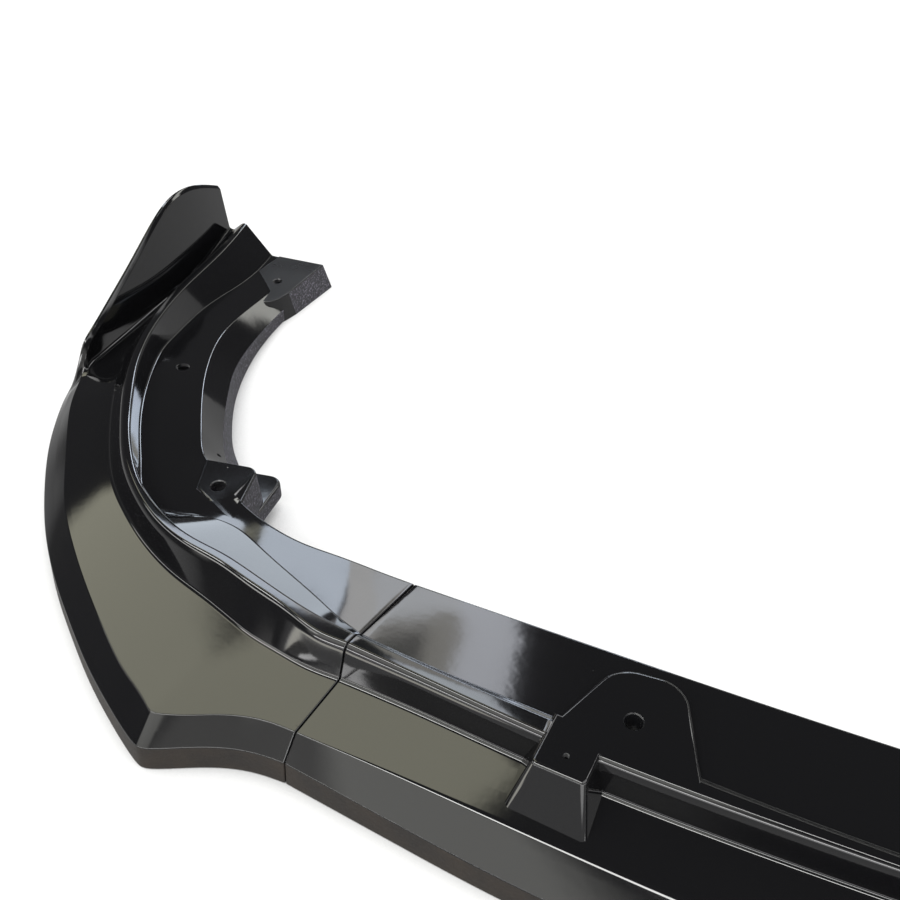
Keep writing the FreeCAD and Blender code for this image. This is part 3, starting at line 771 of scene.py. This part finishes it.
additions = [
    raised_block("pad", PAD_FOOT, PAD, BLOCK_FLOOR, PAD_HEIGHT, PAD_ROUND, BLOCK_EDGE, (1, 2)),
    raised_block("lug", LUG_BASE, LUG_TOP, LUG_FLOOR, PAD_HEIGHT, LUG_ROUND, BLOCK_EDGE, (1, 2)),
]
cores = [core(PAD, PAD, BLOCK_FLOOR, PAD_HEIGHT), core(LUG_BASE, LUG_TOP, LUG_FLOOR, PAD_HEIGHT)]
cuts = [
    drill("pad_drill", PAD_HOLE, PAD_HOLE_RADIUS, PAD_HEIGHT),
    drill("lug_drill", LUG_HOLE, PILOT_RADIUS, PAD_HEIGHT, lead=0.4),
]
collars = [collar(PAD_HOLE, PAD_HOLE_RADIUS, PAD_HEIGHT)]
steps = ((additions, "UNION", GLOSS), (cores, "DIFFERENCE", RAW), (collars + [end_wall(1)], "UNION", RAW),
         (cuts, "DIFFERENCE", SATIN))
for tools, operation, material in steps:
    for tool in tools:
        combine(centre, mirrored_copy(tool, tool.name + "_left"), operation, material)
        combine(centre, tool, operation, material)
settle(centre, "centre_section")


# Corner mouldings: the outer ends of the lip, with the fin that rises ahead of the wheel, the cove
# inside it, the flange along the wheel arch, and its bracket and tab. Each is formed from one sheet.

CORNER_PLANES = [
    ((42, -249), (7, -119)), ((67, -254), (30, -117)), ((90, -264), (49, -114)),
    ((100, -268), (59, -112)), ((106, -269), (63.6, -110.6)), ((109, -269), (66, -110)),
    ((112, -268.6), (68.9, -109.3)), ((118, -266), (75, -108)),
    ((145, -249), (97, -103)), ((177, -228), (117, -93)), ((212, -200), (137, -78)),
    ((247, -171), (157, -52)), ((282, -132), (175, -27)), ((312, -94), (192, -6)),
    ((337, -55), (209, 18)), ((357, -17), (225, 45)), ((367, 8), (234, 62)),
    ((371, 20), (238, 71)), ((373, 28), (240, 77)), ((375, 36), (242, 83)),
    ((377, 52), (246, 94)), ((379, 80), (252, 110)), ((380, 115), (257, 138)),
    ((380, 155), (259, 170)), ((379, 200), (260, 208)), ((378, 243), (257, 249)),
    ((377, 277), (247, 280)),
]
CORNER_SPACING = 4.0
BRACKET = [(182, -53), (140, -48), (131, -103), (138, -101), (173, -83)]
BRACKET_BASE = [(190, -52), (139, -46), (129, -105), (137, -104), (178, -88)]
BRACKET_HOLE = (159, -76)
BRACKET_HEIGHT = 57.0
BRACKET_ROUND = 9.0
RECESS_TOP = [(190, -52), (141, -44), (125, -104), (139, -109), (181, -87)]
LEDGE = [(135.5, -88), (135, -22), (176, -27), (192, -32), (160, -60)]
LEDGE_FOOT = 14.0
LEDGE_HEIGHT = 27.0
LEDGE_ROUND = 12.0
TAB = [(300, 278.7), (251, 279.8), (259, 220), (263, 207), (271, 198), (318, 190)]
TAB_FOOT = [(300, 278.7), (243, 279.9), (254, 222), (259, 206), (268, 195), (318, 187)]
TAB_HEIGHT = 25.0
TAB_HOLE = (279, 235)
TAB_HOLE_RADIUS = 4.0
ARCH_HOLE = (273, 56)
ARCH_HOLE_HEIGHT = 45.0
SLOPE_HOLE = (191, -26)
SLOPE_HOLE_HEIGHT = 37.0

rings = [section_ring(seam.moved(-HALF_GAP), CORNER_RIM_WIDTH)]
rings += [section_ring(corner_station(planes), CORNER_RIM_WIDTH) for planes in CORNER_PLANES]
rings = dense_rings(rings, CORNER_SPACING)
rings, owners = rounded_rings(rings, np.full(len(rings), 1.6))
rings = eased_end(rings, owners, END_ROUND)
right = skin_object("right_corner_shell", rings, owners, materials)
recess = raised_block("recess", BRACKET, RECESS_TOP, BRACKET_HEIGHT, RIDGE_HEIGHT + WALL, 0, 0)
ledge = raised_block("ledge", LEDGE, LEDGE, LEDGE_FOOT, LEDGE_HEIGHT, LEDGE_ROUND, 2.2, (1,))
bracket = raised_block("bracket", BRACKET_BASE, BRACKET, LEDGE_HEIGHT - WALL, BRACKET_HEIGHT, BRACKET_ROUND,
                       1.4, (1,))
tab = raised_block("tab", TAB_FOOT, TAB, 0, TAB_HEIGHT, 4.0, 1.2, (3, 4))
combine(right, recess, "DIFFERENCE", GLOSS)
for block in (ledge, bracket):
    combine(right, block, "UNION", RAW)
combine(right, tab, "UNION", RAW, top=SATIN, front=GLOSS)
hollows = [core(LEDGE, LEDGE, LEDGE_FOOT, LEDGE_HEIGHT),
           core(BRACKET, BRACKET, LEDGE_HEIGHT - WALL, BRACKET_HEIGHT), core(TAB_FOOT, TAB, 0, TAB_HEIGHT)]
for block in hollows:
    combine(right, block, "DIFFERENCE", RAW)
combine(right, end_wall(-1), "UNION", RAW)
cuts = [
    drill("bracket_drill", BRACKET_HOLE, PAD_HOLE_RADIUS, BRACKET_HEIGHT),
    drill("arch_drill", ARCH_HOLE, PAD_HOLE_RADIUS, ARCH_HOLE_HEIGHT),
    drill("slope_drill", SLOPE_HOLE, PILOT_RADIUS, SLOPE_HOLE_HEIGHT, lead=0.4),
    drill("tab_drill", TAB_HOLE, TAB_HOLE_RADIUS, TAB_HEIGHT),
]
for tool in cuts:
    combine(right, tool, "DIFFERENCE", SATIN)
left = mirrored_copy(right, "left_corner_shell")
settle(right, "right_corner")
settle(left, "left_corner")


# Joint bolts, washers and nuts: they clamp the end walls of the mouldings together under the skin.
# They are cold-formed steel with a zinc plating.

FASTENER_KINDS = ("bolts", "washers", "nuts")
FASTENER_NODES = [side + "_joint_" + kind for side in ("right", "left") for kind in FASTENER_KINDS]


def zinc_plating():
    """Bright zinc with a faint blue tint, brushed spangle and dulled patches."""
    finish = Finish("zinc_plated_steel")
    places = finish.places()
    spangle = finish.noise(places, 700.0, 3.0)
    dull = finish.noise(places, 160.0, 2.0)
    colour = finish.mix(dull, (0.60, 0.62, 0.64, 1), (0.46, 0.48, 0.49, 1))
    finish.surface(Base_Color=colour, Metallic=1.0, Roughness=0.28 + spangle * 0.22,
                   Normal=finish.bump(spangle, 0.0001, 0.3))
    return finish.material


zinc = zinc_plating()
for node in FASTENER_NODES:
    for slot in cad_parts[node].material_slots:
        slot.material = zinc


# Floor, light and camera: a plain white floor, a studio of soft panels round the lip, and a camera in
# front of the right corner that looks down across the lip.

FLOOR_HALF = 6.0
FLOOR_DROP = 0.0005
REFLECTION_PATCH_ACROSS = ((-0.86, -0.78), (-0.50, -0.46))
REFLECTION_PATCH_ALONG = ((-0.52, -0.49), (-0.375, -0.355))


def studio_floor():
    """White to the camera, with the object's soft shadow, and a painted shade: ambient occlusion dims the
    white glow under and around the object.

    In reflections it shows a painted reflection, a glow set by place instead of its lit colour: grey, darker
    beyond the corner, brighter far ahead, with a bright cream patch ahead of the seam.
    """
    finish = Finish("studio_floor")
    finish.surface(Base_Color=(0.88, 0.88, 0.88, 1), Roughness=0.9, Specular_IOR_Level=0.0)
    places = finish.places()
    across = finish.node("ShaderNodeSeparateXYZ", None, {"Vector": places}, output="X")
    along = finish.node("ShaderNodeSeparateXYZ", None, {"Vector": places}, output="Y")

    def rise(value, start, end):
        return finish.node("ShaderNodeMapRange", {"interpolation_type": "SMOOTHSTEP"},
                           {"Value": value, "From Min": start, "From Max": end})

    (left, left_in), (right_in, right) = REFLECTION_PATCH_ACROSS
    (front, front_in), (back_in, back) = REFLECTION_PATCH_ALONG
    reflection_patch = rise(across, left, left_in) * (1 - rise(across, right_in, right))
    reflection_patch = reflection_patch * rise(along, front, front_in) * (1 - rise(along, back_in, back))
    far = 1 - rise(along, -0.95, -0.75)
    near = rise(across, -1.25, -0.75) * (0.53 + far * 3.0) + 0.12 + reflection_patch * 4.5
    tone = finish.mix(reflection_patch, (1, 1, 1, 1), (1.0, 0.98, 0.88, 1))
    camera_ray = finish.node("ShaderNodeLightPath", output="Is Camera Ray")
    glossy_ray = finish.node("ShaderNodeLightPath", output="Is Glossy Ray")
    lit = Value(finish, finish.tree.nodes["Principled BSDF"].outputs[0])
    # Ambient occlusion dims the white glow seen by the camera: painted shade under the object and round its
    # foot, over the real shadow in the lit quarter.
    openness = finish.node("ShaderNodeAmbientOcclusion", {"samples": 8}, {"Distance": 0.12}, output="AO")
    painted_shade_glow_share = rise(openness, 0.25, 0.75)
    white = finish.node("ShaderNodeEmission", None, {"Color": (1, 1, 1, 1), "Strength": painted_shade_glow_share})
    # Glossy rays see this glow instead of the lit floor: a painted reflection, strongest far ahead and in the
    # cream patch.
    mirrored = finish.node("ShaderNodeEmission", None, {"Color": tone, "Strength": near})
    seen = finish.node("ShaderNodeMixShader", None, {0: camera_ray * 0.75, 1: lit, 2: white})
    shown = finish.node("ShaderNodeMixShader", None, {0: glossy_ray, 1: seen, 2: mirrored})
    finish.put(finish.tree.nodes["Material Output"].inputs["Surface"], shown)
    return finish.material


deselect_all()
bpy.ops.mesh.primitive_plane_add(size=2 * FLOOR_HALF, location=(0, 0, -FLOOR_DROP))
floor = bpy.context.object
floor.name = "floor"
bpy.ops.object.transform_apply(location=True, scale=True)
floor.data.materials.append(studio_floor())

# Soft panels round the studio: azimuth from +Y towards +X, elevation, width and height in degrees, the
# softness of the edge, the strength and the tint
PANELS = [
    ("sky_window", -48, 46.8, 20, 6.4, 0.6, 9.0, (0.84, 0.93, 1.06)),
    ("pale_window", -29.2, 46, 5.4, 6, 0.4, 6.2, (1.0, 1.0, 1.0)),
    ("grey_window", -21.3, 49.6, 6.8, 7, 0.4, 3.1, (1.03, 1.0, 0.92)),
    ("back_window", -21.3, 45, 8, 3.4, 0.4, 6.6, (0.97, 1.0, 1.05)),
    ("bright_window", -16.4, 47.6, 3.0, 10, 0.3, 6.9, (0.96, 0.99, 1.07)),
    ("top_window", -22, 55.5, 6, 4.5, 0.5, 7.0, (0.93, 1.0, 1.08)),
    ("dark_tree", -23.3, 48.6, 2.6, 2.2, 0.8, 0.8, (1.0, 1.0, 0.95)),
    ("rear_light", -7, 22.5, 12, 12, 0.8, 15.0, (0.86, 0.97, 1.15)),
    ("warm_board", -67, 57, 15, 42, 2.5, 3.5, (1.02, 1.0, 0.79)),
    ("front_board", -155, 25, 44, 36, 6.0, 2.3, (1.0, 1.0, 0.95)),
    ("low_window", -18.5, 7.5, 14, 8, 0.8, 4.4, (0.88, 0.97, 1.08)),
    ("front_glow", 180, 6, 90, 20, 10.0, 1.0, (1.0, 0.99, 0.96)),
    ("side_board", 105, 48, 60, 36, 8.0, 3.0, (1.0, 1.0, 1.0)),
    ("low_strip", 160, 3, 118, 5, 1.0, 14.0, (1.0, 1.0, 1.0)),
    ("left_strip", -118, 22, 44, 6, 1.5, 8.0, (1.0, 1.0, 0.97)),
    ("key_strip", -157, 52, 64, 8, 1.5, 20.0, (1.0, 1.0, 0.98)),
    ("west_board", -47, 4, 16, 7, 1.0, 3.0, (1.05, 1.0, 0.88)),
    ("rear_strip", 16, 26, 68, 5, 1.5, 5.0, (1.0, 1.0, 0.94)),
    ("cross_light", 40, 42, 22, 7, 1.5, 10.0, (1.0, 1.0, 1.0)),
]
ROOM_LIGHT = 0.11
PANEL_RIPPLE = 0.022


def direction(azimuth, elevation):
    a, e = math.radians(azimuth), math.radians(elevation)
    return Vector((math.sin(a) * math.cos(e), math.cos(a) * math.cos(e), math.sin(e)))


def studio_world():
    """White for the camera. The panels and a dim room light the object and show in its gloss."""
    world = bpy.data.worlds.new("studio")
    bpy.context.scene.world = world
    world.use_nodes = True
    finish = Finish("studio", world.node_tree)
    sky = finish.node("ShaderNodeTexCoord", output="Generated")
    ripple = finish.node("ShaderNodeTexNoise", None, {"Vector": sky, "Scale": 34.0, "Detail": 3.0},
                         output="Color")
    ripple = finish.node("ShaderNodeVectorMath", {"operation": "SUBTRACT"}, {0: ripple, 1: (0.5, 0.5, 0.5)})
    ripple = finish.node("ShaderNodeVectorMath", {"operation": "SCALE"}, {0: ripple, "Scale": PANEL_RIPPLE})
    sky = finish.node("ShaderNodeVectorMath", {"operation": "ADD"}, {0: sky, 1: ripple})

    def along(axis):
        return finish.node("ShaderNodeVectorMath", {"operation": "DOT_PRODUCT"},
                           {0: sky, 1: tuple(axis)}, output="Value")

    colour = (ROOM_LIGHT, ROOM_LIGHT, ROOM_LIGHT * 1.05, 1)
    for name, azimuth, elevation, wide, high, soft, strength, tint in PANELS:
        out = direction(azimuth, elevation)
        side = direction(azimuth + 90, 0)
        rise = side.cross(out)
        ahead = along(out)
        share = ahead > 0.05
        for axis, extent in ((side, wide), (rise, high)):
            offset = finish.node("ShaderNodeMath", {"operation": "ABSOLUTE"}, {0: along(axis)})
            offset = offset.maths("DIVIDE", offset, ahead.maths("MAXIMUM", ahead, 0.05))
            inner = math.tan(math.radians(extent / 2 - soft / 2))
            outer = math.tan(math.radians(extent / 2 + soft / 2))
            share = share * finish.node(
                "ShaderNodeMapRange", {"interpolation_type": "SMOOTHSTEP"},
                {"Value": offset, "From Min": inner, "From Max": outer, "To Min": 1.0, "To Max": 0.0})
        colour = finish.mix(share, colour, tuple(strength * part for part in tint) + (1,))
    camera_ray = finish.node("ShaderNodeLightPath", output="Is Camera Ray")
    finish.put(finish.tree.nodes["Background"].inputs["Color"], finish.mix(camera_ray, colour, (1, 1, 1, 1)))


studio_world()

CAMERA_PLACE = Vector((-0.2816, -0.5462, 0.5905))
CAMERA_AIM = Vector((-0.525, 0.0879, 0.0))
CAMERA_LENS = 42.4

bpy.ops.object.camera_add(location=CAMERA_PLACE)
camera = bpy.context.object
camera.rotation_euler = (CAMERA_AIM - CAMERA_PLACE).to_track_quat("-Z", "Y").to_euler()
camera.data.lens = CAMERA_LENS
camera.data.sensor_width = 36.0
camera.data.clip_start = 0.01
bpy.context.scene.camera = camera
